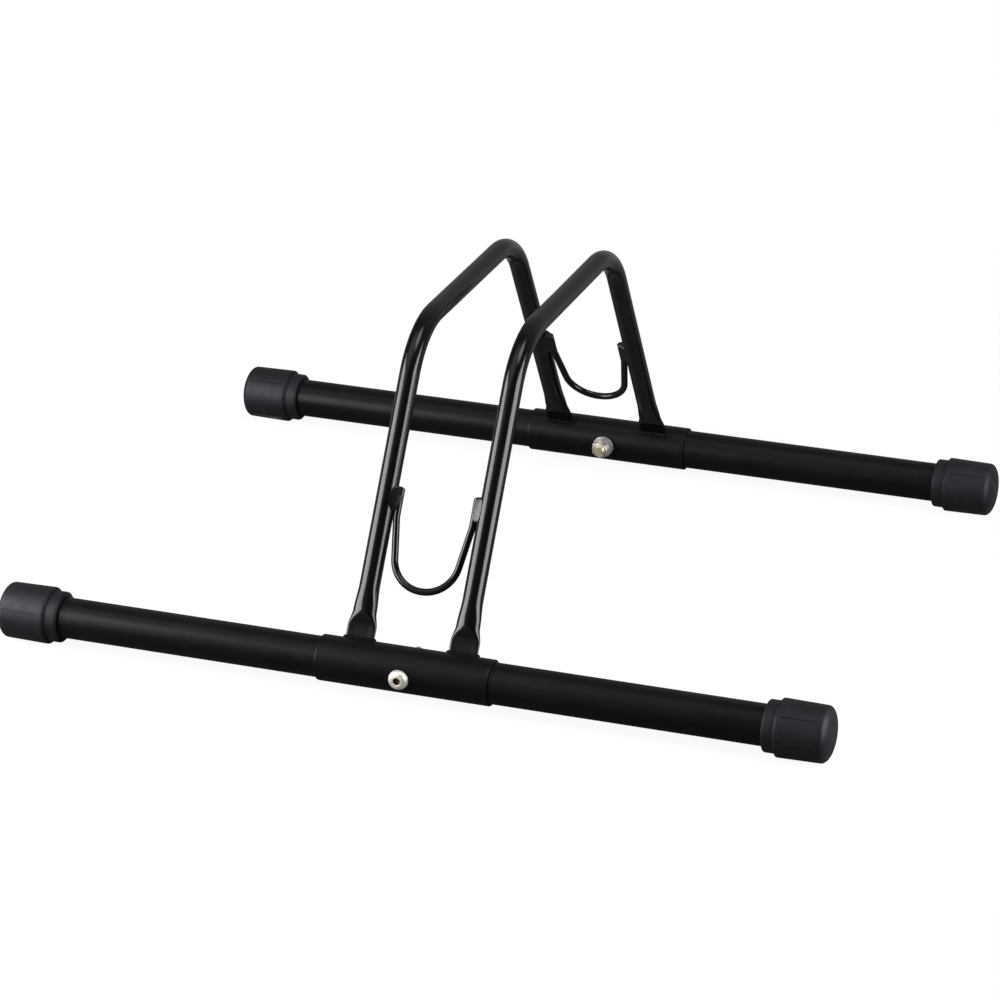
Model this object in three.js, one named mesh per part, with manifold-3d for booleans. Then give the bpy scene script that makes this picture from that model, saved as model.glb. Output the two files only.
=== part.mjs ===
// A floor bike rack. Two bent-tube hoops hold a wheel upright between them, two wire cradles carry
// its tyre, and two base bars, bolted in welded sleeves, stand on rubber end caps.
// Millimetres. +X runs along the base bars, +Y from front to rear and +Z up from the floor.
// The origin is on the floor, in the middle of the rack.
import * as THREE from 'three';
import { mergeVertices } from 'three/addons/utils/BufferGeometryUtils.js';
import Module from 'manifold-3d';

const wasm = await Module();
wasm.setup();

// ---- driving dimensions ----

// Base bars and the sleeves that they are bolted in
const BAR_LENGTH = 588;
const BAR_DIAMETER = 28.6;
const BAR_WALL = 1.5;
const BAR_SPACING = 447; // from the front bar's axis to the rear bar's
const SLEEVE_LENGTH = 124;
const SLEEVE_WALL = 1.5;
const SLEEVE_EDGE = 0.5; // chamfer round both ends

// Hoops
const HOOP_DIAMETER = 14.3;
const HOOP_WALL = 1;
const HOOP_PITCH = 74.8; // from the left hoop's plane to the right hoop's
const HOOP_RISE = 199.6; // from the bars' axes up to the upper run's axis
const UPPER_RUN = 197; // between the corners of the hoop's outline, before it is bent round
const HOOP_BEND = 60; // bend radius, on the tube's axis
const FOOT_WIDTH = 21; // across a leg's pressed end
const FOOT_FLAT = 8.5; // fully pressed length above the sleeve
const FOOT_PRESS = 11; // length over which the flat opens into an oval
const FOOT_OVAL = 18.5; // length over which the oval turns round again
const OVAL_SPREAD = 0.38; // share of the foot's spread that the widest oval has

// Wire cradles, measured along the legs from the bars' axes
const WIRE_DIAMETER = 5;
const CRADLE_BOTTOM = 54.2; // to the lowest point of the wire's axis
const CRADLE_TOP = 123; // to the wire's ends
const CRADLE_CORNER = 23; // bend radius at the bottom, on the wire's axis
const CRADLE_FLARE = 8.5; // degrees that the sides lean outwards
const CRADLE_KNEE = 14; // bend radius where a side meets the leg, on the wire's axis
const CRADLE_END = 19; // straight length of each end, which is welded along the leg

// Welds
const FOOT_BEAD = 1.6; // radius of the bead round a leg's foot
const BEAD_RIPPLE = 0.08; // share of its radius that the bead swells and shrinks by
const FILL_LENGTH = 18; // of the weld that fills the groove between a wire's end and a leg
const FILL_BULGE = 0.5; // how far the fill stands over the line that touches wire and leg
const FILL_TIP = 0.8; // thickness of the fill over the wire's tip
const FILL_TAPER = 0.45; // share of its size that the fill keeps at both ends

// Rubber end caps
const CAP_LENGTH = 46;
const CAP_END_WALL = 6;
const CAP_DIAMETER = 40.1; // of the body, at its shoulder
const CAP_TAPER = 0.5; // how far the body's wall draws in towards its outer end
const CAP_DOME_LENGTH = 6.5;
const CAP_DOME_WIDTH = 14;
const COLLAR_LENGTH = 8.7;
const COLLAR_DIAMETER = 35.8;
const CAP_EDGE = 1.3; // rounding of the shoulder and of the collar
const CAP_GROOVE_COUNT = 4;
const CAP_GROOVE_WIDTH = 1.6;
const CAP_GROOVE_DEPTH = 0.8;
const CAP_GROOVE_STOP = 4; // from the shoulder to the grooves' closed ends
const CAP_FLAT_DEPTH = 0.65; // how deep the flat that the rack stands on is cut

// Each cap is pushed on with its first groove at its own angle from straight up, in degrees
const CAP_TURNS = { front_left: 67.5, front_right: 45, rear_left: 45, rear_right: 45 };

// How far each cap stands out from being pushed home
const CAP_OFFSETS = { front_left: 0, front_right: 0, rear_left: 0, rear_right: 3.5 };

// M8 button-head bolts with nylon-insert lock nuts
const BOLT_DIAMETER = 8;
const BOLT_TAIL = 2; // what stands out of the nut
const BOLT_CHAMFER = 0.8;
const HEAD_DIAMETER = 14;
const HEAD_HEIGHT = 4.4;
const HEAD_EDGE = 0.6; // height of the straight rim under the dome
const HEAD_FLAT = 6.3; // width of the flat round the socket
const SOCKET_WIDTH = 5; // across flats
const SOCKET_DEPTH = 2.8;
const WASHER_DIAMETER = 16;
const WASHER_THICKNESS = 1.6;
const WASHER_EDGE = 0.3;
const NUT_WIDTH = 13; // across flats
const NUT_HEX_HEIGHT = 6.2;
const NUT_HEIGHT = 8;
const NUT_COLLAR_DIAMETER = 11.8;
const NUT_BEVEL = 0.7;
const NUT_CROWN = 1; // rounding of the collar's top
const NUT_LIP = 0.5; // thickness of the lip over the nylon ring, and its reach over it
const INSERT_THICKNESS = 1.5;
const INSERT_WALL = 1.1;

// Named clearances
const SLEEVE_FIT = 0.2; // round a bar in its sleeve
const CAP_FIT = 0.3; // round and behind a bar in its cap
const BOLT_FIT = 0.25; // round a bolt in its holes, its washer and its nut
const SEAT_GAP = 0.2; // between a piece and the face that it is tightened or welded on

// Sides of the round forms
const BAR_SIDES = 32;
const CAP_SIDES = 24;
const TUBE_SIDES = 16;
const TUBE_BORE_SIDES = 8;
const WIRE_SIDES = 10;
const BEAD_SIDES = 7;
const FASTENER_SIDES = 18;

// ---- derived dimensions ----

const barRadius = BAR_DIAMETER / 2;
const barOffset = BAR_SPACING / 2;
const sleeveBore = barRadius + SLEEVE_FIT;
const sleeveRadius = sleeveBore + SLEEVE_WALL;
const barHeight = CAP_DIAMETER / 2 - CAP_FLAT_DEPTH;
const tubeRadius = HOOP_DIAMETER / 2;
const wireRadius = WIRE_DIAMETER / 2;
const boltRadius = BOLT_DIAMETER / 2;
const holeRadius = boltRadius + BOLT_FIT;
const seatRadius = sleeveRadius + SEAT_GAP;

// The legs lean in from the bars' axes to the upper run's corners
const legRun = barOffset - UPPER_RUN / 2;
const legLean = Math.atan2(legRun, HOOP_RISE);
const bendAngle = Math.PI / 2 - legLean;
const bendReach = HOOP_BEND * Math.tan(bendAngle / 2);
const footEnd = sleeveRadius + FOOT_FLAT;
const ovalStart = footEnd + FOOT_PRESS;
const footTop = ovalStart + FOOT_OVAL;
const footSpread = FOOT_WIDTH / 2 - tubeRadius;
const tubeRound = 2 * Math.PI * tubeRadius;
const footThickness = (tubeRound - 2 * FOOT_WIDTH) / (2 * Math.PI - 4); // half of the pressed end's

// ---- shape tools ----

// A closed body with flat ends through a row of rings, or a ring-shaped one if it loops round
function loft(rings, loops = false) {
  const count = rings[0].length;
  const bands = loops ? rings.length : rings.length - 1;
  const faces = [];
  for (let i = 0; i < bands; i += 1) {
    const here = i * count;
    const there = ((i + 1) % rings.length) * count;
    for (let k = 0; k < count; k += 1) {
      const next = (k + 1) % count;
      faces.push(here + k, here + next, there + next);
      faces.push(here + k, there + next, there + k);
    }
  }
  if (!loops) {
    const last = bands * count;
    for (let k = 1; k < count - 1; k += 1) {
      faces.push(0, k + 1, k);
      faces.push(last, last + k, last + k + 1);
    }
  }
  const geometry = new THREE.BufferGeometry();
  geometry.setFromPoints(rings.flat());
  geometry.setIndex(faces);
  return toSolid(geometry);
}

// A body turned round the Y axis from [radius, height] points
function revolve(profile, sides) {
  const outline = profile.map(([radius, height]) => new THREE.Vector2(radius, height));
  return toSolid(new THREE.LatheGeometry(outline, sides));
}

// The same, laid along the X axis
function revolveAlongX(profile, sides) {
  return revolve(profile, sides).rotate([0, 0, -90]);
}

// A straight tube along X with chamfered outer edges, centred on the origin
function tube(length, radius, bore, edge) {
  const half = length / 2;
  const profile = [
    [bore, -half],
    [radius - edge, -half],
    [radius, -half + edge],
    [radius, half - edge],
    [radius - edge, half],
    [bore, half],
    [bore, -half],
  ];
  return revolveAlongX(profile, BAR_SIDES);
}

// Points of a quarter ellipse round a centre, from its highest point to its widest
function quarter(centre, wide, high, steps) {
  const points = [];
  for (let i = 0; i <= steps; i += 1) {
    const turn = (i / steps) * (Math.PI / 2);
    points.push([centre[0] + wide * Math.sin(turn), centre[1] + high * Math.cos(turn)]);
  }
  return points;
}

// Three points that round an outer corner of a profile, whose body lies above it or below it
function roundCorner(radius, height, edge, above = 1) {
  const middle = edge * (1 - Math.SQRT1_2);
  return [
    [radius, height + above * edge],
    [radius - middle, height + above * middle],
    [radius - edge, height],
  ];
}

function toSolid(geometry) {
  const bare = geometry.clone();
  bare.deleteAttribute('normal');
  bare.deleteAttribute('uv');
  const merged = mergeVertices(bare, 1e-5);
  const corners = merged.index.array;
  const faces = [];
  for (let i = 0; i < corners.length; i += 3) {
    const [a, b, c] = [corners[i], corners[i + 1], corners[i + 2]];
    if (a !== b && b !== c && c !== a) faces.push(a, b, c);
  }
  const shape = { numProp: 3, vertProperties: merged.attributes.position.array };
  return new wasm.Manifold(new wasm.Mesh({ ...shape, triVerts: new Uint32Array(faces) }));
}

function toMesh(name, solid, material) {
  const shape = solid.getMesh();
  const geometry = new THREE.BufferGeometry();
  geometry.setAttribute('position', new THREE.BufferAttribute(shape.vertProperties, 3));
  geometry.setIndex(new THREE.BufferAttribute(shape.triVerts, 1));
  geometry.computeVertexNormals();
  const mesh = new THREE.Mesh(geometry, material);
  mesh.name = name;
  return mesh;
}

// ---- finishes ----

function satinBlackPaint() {
  return new THREE.MeshStandardMaterial({ color: 0x17171a, roughness: 0.42, metalness: 0.0 });
}

function glossBlackPaint() {
  return new THREE.MeshStandardMaterial({ color: 0x0e0e10, roughness: 0.16, metalness: 0.0 });
}

function greyBlackRubber() {
  return new THREE.MeshStandardMaterial({ color: 0x2c2c31, roughness: 0.62, metalness: 0.0 });
}

function zincPlate() {
  return new THREE.MeshStandardMaterial({ color: 0xc9c7c2, roughness: 0.28, metalness: 1.0 });
}

function paleNylon() {
  return new THREE.MeshStandardMaterial({ color: 0xb8ac86, roughness: 0.55, metalness: 0.0 });
}

// ---- places on the front legs, in the plane that both of them lie in ----

// The unit vector up the front legs, and the one that faces out of their plane
const legUp = new THREE.Vector3(0, Math.sin(legLean), Math.cos(legLean));
const legOut = new THREE.Vector3(0, -Math.cos(legLean), Math.sin(legLean));

// The point at a distance up the legs from the front bar's axis, at a given X, off their plane
function onLegPlane(x, up, out = 0) {
  const point = new THREE.Vector3(x, -barOffset, barHeight);
  return point.addScaledVector(legUp, up).addScaledVector(legOut, out);
}

// ---- hoops ----

// A leg's section at a distance up from the bar's axis: two halves of an ellipse, joined by flats.
// It holds half the width, half the thickness and half the flats' length. The press squeezes the
// tube oval and then flat, and keeps the length round it.
function legSection(up) {
  const oval = THREE.MathUtils.smoothstep(footTop - up, 0, FOOT_OVAL);
  const press = THREE.MathUtils.smoothstep(ovalStart - up, 0, FOOT_PRESS);
  const wide = tubeRadius + footSpread * (OVAL_SPREAD * oval + (1 - OVAL_SPREAD) * press);
  const flat = (FOOT_WIDTH / 2 - footThickness) * press;
  const end = wide - flat;
  const meanSquare = ((tubeRound - 4 * flat) / (2 * Math.PI)) ** 2;
  return { wide, thick: Math.sqrt(2 * meanSquare - end ** 2), flat };
}

// Stations of a hoop's axis from its front foot to the middle of its upper run. Each holds its
// place, the turn of the tube there, and its section.
function hoopStations() {
  const pressSteps = 5;
  const ovalSteps = 4;
  const bendSteps = 7;
  const stations = [];
  const addOnLeg = (up) => {
    const y = up * Math.sin(legLean) - barOffset;
    stations.push({ y, z: up * Math.cos(legLean), turn: bendAngle, section: legSection(up) });
  };
  addOnLeg(sleeveRadius / 2);
  for (let i = 0; i < pressSteps; i += 1) addOnLeg(footEnd + (FOOT_PRESS * i) / pressSteps);
  for (let i = 0; i <= ovalSteps; i += 1) addOnLeg(ovalStart + (FOOT_OVAL * i) / ovalSteps);
  const bendY = bendReach - UPPER_RUN / 2;
  const bendZ = HOOP_RISE - HOOP_BEND;
  for (let i = 0; i <= bendSteps; i += 1) {
    const turn = bendAngle * (1 - i / bendSteps);
    const y = bendY - HOOP_BEND * Math.sin(turn);
    const z = bendZ + HOOP_BEND * Math.cos(turn);
    stations.push({ y, z, turn, section: legSection(footTop) });
  }
  return stations;
}

// A point on a leg's section, grown or drawn in by an amount, and the way that it faces
function onSection({ wide, thick, flat }, angle, grown = 0) {
  const facing = [Math.cos(angle), Math.sin(angle)];
  const side = Math.abs(facing[0]) < 1e-9 ? 0 : Math.sign(facing[0]);
  const across = side * flat + (wide - flat + grown) * facing[0];
  return { across, out: (thick + grown) * facing[1], facing };
}

// One ring of a hoop, drawn in from its outside by an inset
function hoopRing({ y, z, turn, section }, inset, sides) {
  const ring = [];
  for (let k = 0; k < sides; k += 1) {
    const { across, out } = onSection(section, (-2 * Math.PI * k) / sides, -inset);
    ring.push(new THREE.Vector3(across, y - out * Math.sin(turn), z + out * Math.cos(turn)));
  }
  return ring;
}

function hoopBody(stations, inset, sides) {
  return loft(stations.map((station) => hoopRing(station, inset, sides)));
}

// A cylinder a little larger than a sleeve, to cut what is welded on it
function sleeveCutter(gap) {
  const radius = sleeveRadius + gap;
  const reach = SLEEVE_LENGTH;
  return revolveAlongX([[0, -reach], [radius, -reach], [radius, reach], [0, reach]], BAR_SIDES);
}

function hoop() {
  const front = hoopStations();
  const rear = front.map((station) => ({ ...station, y: -station.y, turn: -station.turn })).reverse();
  const stations = [...front, ...rear];
  const cutter = sleeveCutter(SEAT_GAP);
  return hoopBody(stations, 0, TUBE_SIDES)
    .subtract(hoopBody(stations, HOOP_WALL, TUBE_BORE_SIDES))
    .subtract(cutter.translate([0, -barOffset, 0]))
    .subtract(cutter.translate([0, barOffset, 0]));
}

// ---- wire cradles ----

// Half of the wire's axis as [x, distance up the legs], from the middle of its bottom to its end
function cradlePath() {
  const cornerSteps = 8;
  const kneeSteps = 3;
  const flare = THREE.MathUtils.degToRad(CRADLE_FLARE);
  const endX = HOOP_PITCH / 2 - tubeRadius - SEAT_GAP - wireRadius;
  const cornerTurn = Math.PI / 2 - flare;
  const kneeReach = CRADLE_KNEE * Math.tan(flare / 2);
  // The corner's centre stands where its side, leaning out, meets the leg at the knee
  const path = [];
  const kneeUp = CRADLE_TOP - CRADLE_END - kneeReach;
  const sideRun = kneeUp - CRADLE_BOTTOM - CRADLE_CORNER * (1 - Math.cos(cornerTurn));
  const cornerX = endX - sideRun * Math.tan(flare) - CRADLE_CORNER * Math.sin(cornerTurn);
  const cornerUp = CRADLE_BOTTOM + CRADLE_CORNER;
  path.push([0, CRADLE_BOTTOM]);
  for (let i = 0; i <= cornerSteps; i += 1) {
    const turn = (cornerTurn * i) / cornerSteps;
    path.push([cornerX + CRADLE_CORNER * Math.sin(turn), cornerUp - CRADLE_CORNER * Math.cos(turn)]);
  }
  const kneeTop = kneeUp + kneeReach;
  for (let i = 0; i <= kneeSteps; i += 1) {
    const turn = flare * (1 - i / kneeSteps);
    path.push([endX - CRADLE_KNEE * (1 - Math.cos(turn)), kneeTop - CRADLE_KNEE * Math.sin(turn)]);
  }
  path.push([endX, CRADLE_TOP]);
  return path;
}

// The wire, grown by a gap where it cuts a weld
function cradleWire(gap = 0) {
  const half = cradlePath();
  const other = half.slice(1).map(([x, up]) => [-x, up]).reverse();
  const path = [...other, ...half];
  const radius = wireRadius + gap;
  const rings = path.map(([x, up], i) => {
    const before = path[Math.max(i - 1, 0)];
    const after = path[Math.min(i + 1, path.length - 1)];
    const run = Math.hypot(after[0] - before[0], after[1] - before[1]);
    const along = [(after[0] - before[0]) / run, (after[1] - before[1]) / run];
    const ring = [];
    for (let k = 0; k < WIRE_SIDES; k += 1) {
      const angle = (2 * Math.PI * k) / WIRE_SIDES;
      const reach = radius * Math.cos(angle);
      ring.push(onLegPlane(x - along[1] * reach, up + along[0] * reach, radius * Math.sin(angle)));
    }
    return ring;
  });
  return loft(rings);
}

// ---- welds ----

// A length of the right front leg as a solid rod, a little larger than the leg is at a height
function legCutter(at, low, high) {
  const section = legSection(at);
  const rings = [low, high].map((up) => {
    const ring = [];
    for (let k = 0; k < TUBE_SIDES; k += 1) {
      const { across, out } = onSection(section, (2 * Math.PI * k) / TUBE_SIDES, SEAT_GAP);
      ring.push(onLegPlane(HOOP_PITCH / 2 + across, up, -out));
    }
    return ring;
  });
  return loft(rings);
}

// The bead round the right front leg's foot, on top of the sleeve
function footWeld() {
  const steps = 22;
  const rings = [];
  for (let i = 0; i < steps; i += 1) {
    const angle = (2 * Math.PI * i) / steps;
    const { across, out, facing } = onSection(legSection(sleeveRadius), angle);
    const up = Math.sqrt(sleeveRadius ** 2 - out ** 2);
    const radius = FOOT_BEAD * (1 + BEAD_RIPPLE * Math.cos(i * Math.PI));
    const ring = [];
    for (let k = 0; k < BEAD_SIDES; k += 1) {
      const turn = (2 * Math.PI * k) / BEAD_SIDES;
      const reach = radius * Math.cos(turn);
      const x = HOOP_PITCH / 2 + across + facing[0] * reach;
      ring.push(onLegPlane(x, up + radius * Math.sin(turn), out + facing[1] * reach));
    }
    rings.push(ring);
  }
  const sleeve = sleeveCutter(SEAT_GAP).translate([0, -barOffset, barHeight]);
  const leg = legCutter(sleeveRadius, sleeveRadius / 2, sleeveRadius + 2 * FOOT_BEAD);
  return loft(rings, true).subtract(sleeve).subtract(leg);
}

// Half the section of the fill between a wire and the right front leg, as [x, out] points from
// the wire to the leg: a low bulge over the line that touches both
function fillOutline() {
  const legX = HOOP_PITCH / 2;
  const reach = tubeRadius + SEAT_GAP + wireRadius;
  const tilt = Math.asin((tubeRadius - wireRadius) / reach);
  const normal = [-Math.sin(tilt), Math.cos(tilt)];
  const touch = (x, radius) => [x + radius * normal[0], radius * normal[1]];
  const first = touch(legX - reach, wireRadius + SEAT_GAP);
  const last = touch(legX, tubeRadius + SEAT_GAP);
  const points = [];
  const steps = 3;
  for (let i = 0; i <= steps; i += 1) {
    const share = i / steps;
    const bulge = FILL_BULGE * Math.sin(Math.PI * share);
    const along = (axis) => THREE.MathUtils.lerp(first[axis], last[axis], share);
    points.push([along(0) + normal[0] * bulge, along(1) + normal[1] * bulge]);
  }
  return points;
}

// The weld that fills the groove between a wire's end and the right front leg, in front and
// behind, and closes over the wire's tip
function wireWeld() {
  const steps = 6;
  const high = CRADLE_TOP + FILL_TIP;
  const low = high - FILL_LENGTH;
  const middle = HOOP_PITCH / 2 - tubeRadius - SEAT_GAP / 2;
  const half = fillOutline();
  const behind = half.map(([x, out]) => [x, -out]).reverse();
  const outline = [...half, ...behind];
  const rings = [];
  for (let i = 0; i <= steps; i += 1) {
    const turn = Math.PI * (i / steps - 0.5);
    const size = FILL_TAPER + (1 - FILL_TAPER) * Math.sqrt(Math.cos(turn));
    const up = low + (FILL_LENGTH * (1 + Math.sin(turn))) / 2;
    rings.push(outline.map(([x, out]) => onLegPlane(middle + (x - middle) * size, up, out * size)));
  }
  const leg = legCutter(footTop, low - FILL_LENGTH, high + FILL_LENGTH);
  return loft(rings).subtract(cradleWire(SEAT_GAP)).subtract(leg);
}

// ---- sleeves, bars and end caps ----

// Drills a tube along X through for the bolt, which runs along Y
function drilled(body) {
  const reach = 2 * sleeveRadius;
  const profile = [[0, -reach], [holeRadius, -reach], [holeRadius, reach], [0, reach]];
  return body.subtract(revolve(profile, FASTENER_SIDES));
}

function sleeve() {
  return drilled(tube(SLEEVE_LENGTH, sleeveRadius, sleeveBore, SLEEVE_EDGE));
}

function baseBar() {
  return drilled(tube(BAR_LENGTH, barRadius, barRadius - BAR_WALL, 0));
}

// The end cap on a bar's right end. Its X starts at the bar's end face.
function endCap(grooveTurn) {
  const bore = barRadius + CAP_FIT;
  const bodyRadius = CAP_DIAMETER / 2;
  const outerRadius = bodyRadius - CAP_TAPER;
  const collarRadius = COLLAR_DIAMETER / 2;
  const rim = CAP_END_WALL - CAP_LENGTH;
  const shoulder = rim + COLLAR_LENGTH;
  const domeStart = CAP_END_WALL - CAP_DOME_LENGTH;
  const dome = [outerRadius - CAP_DOME_WIDTH, domeStart];
  const profile = [
    [0, CAP_END_WALL],
    ...quarter(dome, CAP_DOME_WIDTH, CAP_DOME_LENGTH, 5),
    ...roundCorner(bodyRadius, shoulder, CAP_EDGE),
    [collarRadius, shoulder],
    ...roundCorner(collarRadius, rim, CAP_EDGE),
    [bore, rim],
    [bore, CAP_FIT],
    [0, CAP_FIT],
  ];
  let body = revolveAlongX(profile.reverse(), CAP_SIDES);
  const start = shoulder + CAP_GROOVE_STOP;
  const groove = new THREE.BoxGeometry(CAP_LENGTH, CAP_GROOVE_WIDTH, 2 * CAP_GROOVE_DEPTH);
  groove.translate(start + CAP_LENGTH / 2, 0, bodyRadius);
  for (let i = 0; i < CAP_GROOVE_COUNT; i += 1) {
    const turn = grooveTurn + (360 * i) / CAP_GROOVE_COUNT;
    body = body.subtract(toSolid(groove).rotate([turn, 0, 0]));
  }
  const floor = new THREE.BoxGeometry(CAP_LENGTH * 2, CAP_DIAMETER, CAP_DIAMETER);
  floor.translate(rim, 0, -barHeight - CAP_DIAMETER / 2);
  return body.subtract(toSolid(floor));
}

// ---- fasteners, along Y from the head's seat, with the head towards -Y ----

// Where each piece sits on a sleeve whose axis is at the origin
const headSeat = -seatRadius;
const washerSeat = seatRadius;
const nutSeat = washerSeat + WASHER_THICKNESS + SEAT_GAP;
const boltEnd = nutSeat + NUT_HEIGHT + BOLT_TAIL;

function bolt() {
  const headRadius = HEAD_DIAMETER / 2;
  const flatRadius = HEAD_FLAT / 2;
  const centre = [flatRadius, headSeat - HEAD_EDGE];
  const dome = quarter(centre, headRadius - flatRadius, HEAD_EDGE - HEAD_HEIGHT, 5);
  const profile = [
    [0, headSeat - HEAD_HEIGHT],
    ...dome,
    [headRadius, headSeat],
    [boltRadius, headSeat],
    [boltRadius, boltEnd - BOLT_CHAMFER],
    [boltRadius - BOLT_CHAMFER, boltEnd],
    [0, boltEnd],
  ];
  const corner = SOCKET_WIDTH / Math.sqrt(3);
  const socket = new THREE.CylinderGeometry(corner, corner, SOCKET_DEPTH * 2, 6);
  socket.translate(0, headSeat - HEAD_HEIGHT, 0);
  return revolve(profile, FASTENER_SIDES).subtract(toSolid(socket));
}

function washer() {
  const radius = WASHER_DIAMETER / 2;
  const top = washerSeat + WASHER_THICKNESS;
  const profile = [
    [holeRadius, washerSeat],
    [radius, washerSeat],
    [radius, top - WASHER_EDGE],
    [radius - WASHER_EDGE, top],
    [holeRadius, top],
    [holeRadius, washerSeat],
  ];
  return revolve(profile, FASTENER_SIDES);
}

// Heights of the nylon ring's pocket, from the nut's seat
const pocketTop = NUT_HEIGHT - NUT_LIP;
const pocketFloor = pocketTop - INSERT_THICKNESS - 2 * SEAT_GAP;
const insertRadius = holeRadius + INSERT_WALL;

function lockNut() {
  const corner = NUT_WIDTH / Math.sqrt(3);
  const collar = NUT_COLLAR_DIAMETER / 2;
  const hex = new THREE.CylinderGeometry(corner, corner, NUT_HEX_HEIGHT, 6);
  hex.translate(0, NUT_HEX_HEIGHT / 2, 0);
  const turned = revolve([
    [0, 0],
    [NUT_WIDTH / 2, 0],
    [corner, NUT_BEVEL],
    [corner, NUT_HEX_HEIGHT - NUT_BEVEL],
    [NUT_WIDTH / 2, NUT_HEX_HEIGHT],
    [0, NUT_HEX_HEIGHT],
  ], FASTENER_SIDES);
  const crown = revolve([
    [0, NUT_HEX_HEIGHT / 2],
    [collar, NUT_HEX_HEIGHT / 2],
    ...roundCorner(collar, NUT_HEIGHT, NUT_CROWN, -1),
    [0, NUT_HEIGHT],
  ], FASTENER_SIDES);
  const pocket = insertRadius + SEAT_GAP;
  const mouth = insertRadius - NUT_LIP;
  const bore = revolve([
    [0, -NUT_HEIGHT],
    [holeRadius, -NUT_HEIGHT],
    [holeRadius, pocketFloor],
    [pocket, pocketFloor],
    [pocket, pocketTop],
    [mouth, pocketTop],
    [mouth, 2 * NUT_HEIGHT],
    [0, 2 * NUT_HEIGHT],
  ], FASTENER_SIDES);
  return toSolid(hex).intersect(turned).add(crown).subtract(bore).translate([0, nutSeat, 0]);
}

function nutInsert() {
  const low = nutSeat + pocketFloor + SEAT_GAP;
  const high = low + INSERT_THICKNESS;
  const profile = [
    [holeRadius, low],
    [insertRadius, low],
    [insertRadius, high],
    [holeRadius, high],
    [holeRadius, low],
  ];
  return revolve(profile, FASTENER_SIDES);
}

// ---- assembly ----

const rack = new THREE.Group();

function addHoops() {
  for (const [name, side] of [['left_hoop', -1], ['right_hoop', 1]]) {
    const mesh = toMesh(name, hoop(), glossBlackPaint());
    mesh.position.set((side * HOOP_PITCH) / 2, 0, barHeight);
    rack.add(mesh);
  }
}

// A base end is one bar with all that it carries. The rear one is the front one turned half
// round, so both bolts have their heads outside.
function addBaseEnd(end) {
  const isRear = end === 'rear';
  const base = new THREE.Group();
  const axis = new THREE.Group();
  base.rotation.z = isRear ? Math.PI : 0;
  axis.position.set(0, -barOffset, barHeight);
  base.add(axis);
  axis.add(toMesh(`${end}_sleeve`, sleeve(), satinBlackPaint()));
  axis.add(toMesh(`${end}_base_bar`, baseBar(), satinBlackPaint()));
  axis.add(toMesh(`${end}_bolt`, bolt(), zincPlate()));
  axis.add(toMesh(`${end}_washer`, washer(), zincPlate()));
  axis.add(toMesh(`${end}_lock_nut`, lockNut(), zincPlate()));
  axis.add(toMesh(`${end}_nut_insert`, nutInsert(), paleNylon()));
  base.add(toMesh(`${end}_cradle_wire`, cradleWire(), satinBlackPaint()));
  for (const side of [-1, 1]) {
    const label = side === (isRear ? -1 : 1) ? 'right' : 'left';
    const mirror = (solid) => (side > 0 ? solid : solid.mirror([1, 0, 0]));
    base.add(toMesh(`${end}_${label}_foot_weld`, mirror(footWeld()), satinBlackPaint()));
    base.add(toMesh(`${end}_${label}_wire_weld`, mirror(wireWeld()), satinBlackPaint()));
    const capBody = mirror(endCap(CAP_TURNS[`${end}_${label}`]));
    const cap = toMesh(`${end}_${label}_end_cap`, capBody, greyBlackRubber());
    cap.position.x = side * (BAR_LENGTH / 2 + CAP_OFFSETS[`${end}_${label}`]);
    axis.add(cap);
  }
  rack.add(base);
}

addHoops();
addBaseEnd('front');
addBaseEnd('rear');

export default rack;
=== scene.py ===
"""Looks of a floor bike rack.

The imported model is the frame, and each of its nodes is dressed with a finer piece. Sizes are in
millimetres until a piece is made. +X runs along the base bars, +Y to the rear, +Z up.
"""
import math

import bmesh
import bpy
import numpy as np
from mathutils import Matrix, Vector, noise


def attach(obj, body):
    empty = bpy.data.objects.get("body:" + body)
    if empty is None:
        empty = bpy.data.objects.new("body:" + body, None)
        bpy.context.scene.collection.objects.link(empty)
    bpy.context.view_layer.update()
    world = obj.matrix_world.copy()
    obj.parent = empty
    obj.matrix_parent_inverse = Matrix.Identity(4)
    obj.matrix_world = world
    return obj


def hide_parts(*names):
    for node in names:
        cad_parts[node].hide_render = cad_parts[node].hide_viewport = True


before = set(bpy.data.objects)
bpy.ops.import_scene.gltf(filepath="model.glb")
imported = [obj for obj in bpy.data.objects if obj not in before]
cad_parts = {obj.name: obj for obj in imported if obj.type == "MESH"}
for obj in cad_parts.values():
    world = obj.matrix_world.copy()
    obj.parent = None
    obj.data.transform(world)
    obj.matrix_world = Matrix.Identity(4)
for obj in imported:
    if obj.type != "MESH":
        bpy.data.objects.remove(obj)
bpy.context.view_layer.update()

MM = 0.001

# ---- camera ----

CAMERA_AZIMUTH = math.radians(19.17)
CAMERA_ELEVATION = math.radians(22.76)
CAMERA_ROLL = math.radians(0.32)
CAMERA_PLACE = (0.92777, -2.70003, 1.25365)
CAMERA_SHIFT = (-0.0008, 0.0005)
CAMERA_LENS = 154.66
CAMERA_SENSOR = 36
CAMERA_NEAR = 0.1
CAMERA_FAR = 100

# ---- sizes: bars and sleeves ----

BAR_LENGTH = 588
BAR_RADIUS = 14.3
BAR_WALL = 1.5
BAR_OFFSET = 223.5
BAR_HEIGHT = 19.4
BAR_SIDES = 128
BAR_RINGS = 140
SLEEVE_LENGTH = 124
SLEEVE_BORE = 14.5
SLEEVE_RADIUS = 16.0
SLEEVE_EDGE = 0.5
SLEEVE_RINGS = 30

# ---- sizes: hoops ----

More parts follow.
